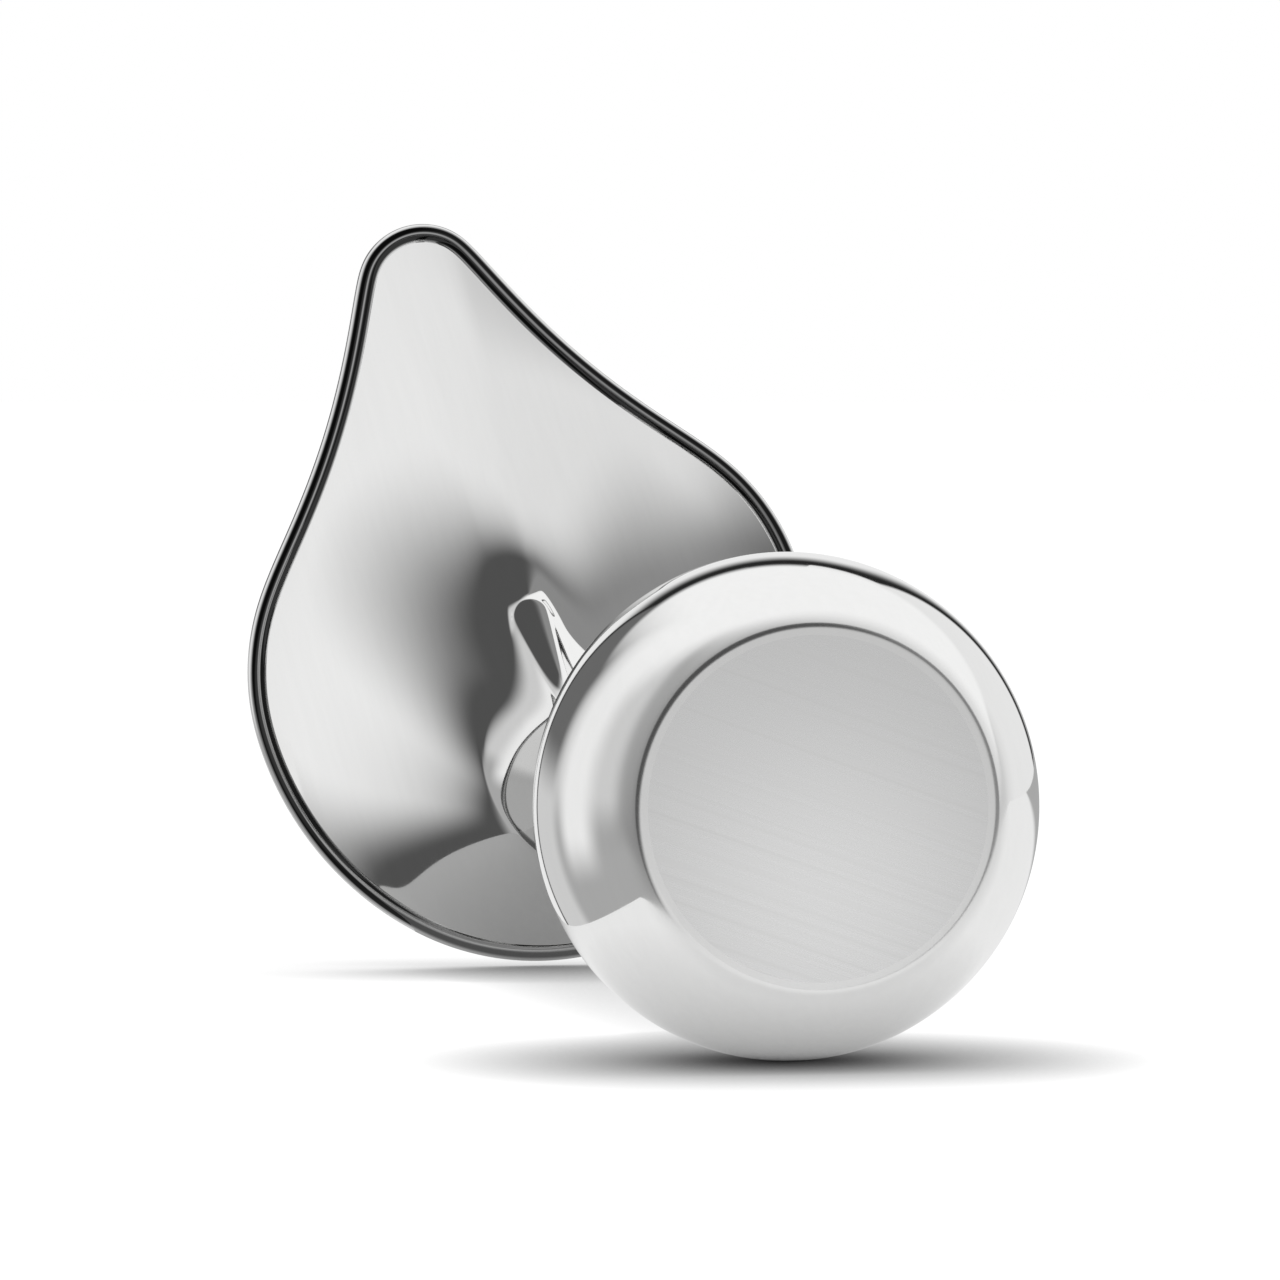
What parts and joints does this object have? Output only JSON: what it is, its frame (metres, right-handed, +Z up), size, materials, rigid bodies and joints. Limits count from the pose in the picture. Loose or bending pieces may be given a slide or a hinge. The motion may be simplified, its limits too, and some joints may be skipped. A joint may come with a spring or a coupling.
{
  "type": "cream jug",
  "caption": "Polished silver cream jug with a ball body on a flat brushed base, a slender neck and a wide leaf-shaped mouth with a wired edge that draws out to a pouring tip.",
  "frame": {"origin": "centre of the flat base, on the table", "axes": "+Z up along the body's axis, +X towards the pouring tip, +Y to the left of someone looking along the tip"},
  "size_m": [0.0902, 0.0646, 0.1335],
  "materials": {
    "polished_silver": "mirror-polished sterling silver",
    "brushed_silver": "straight-brushed satin sterling silver",
    "solder": "dull hard solder"
  },
  "bodies": {
    "root": {"base_plate": "brushed_silver", "lower_bowl": "polished_silver", "upper_bowl": "polished_silver", "neck_tube": "polished_silver", "flared_lip": "polished_silver", "rim_wire": "polished_silver", "base_solder": "solder", "belly_solder": "solder", "neck_solder": "solder", "lip_solder": "solder"}
  },
  "joints": []
}
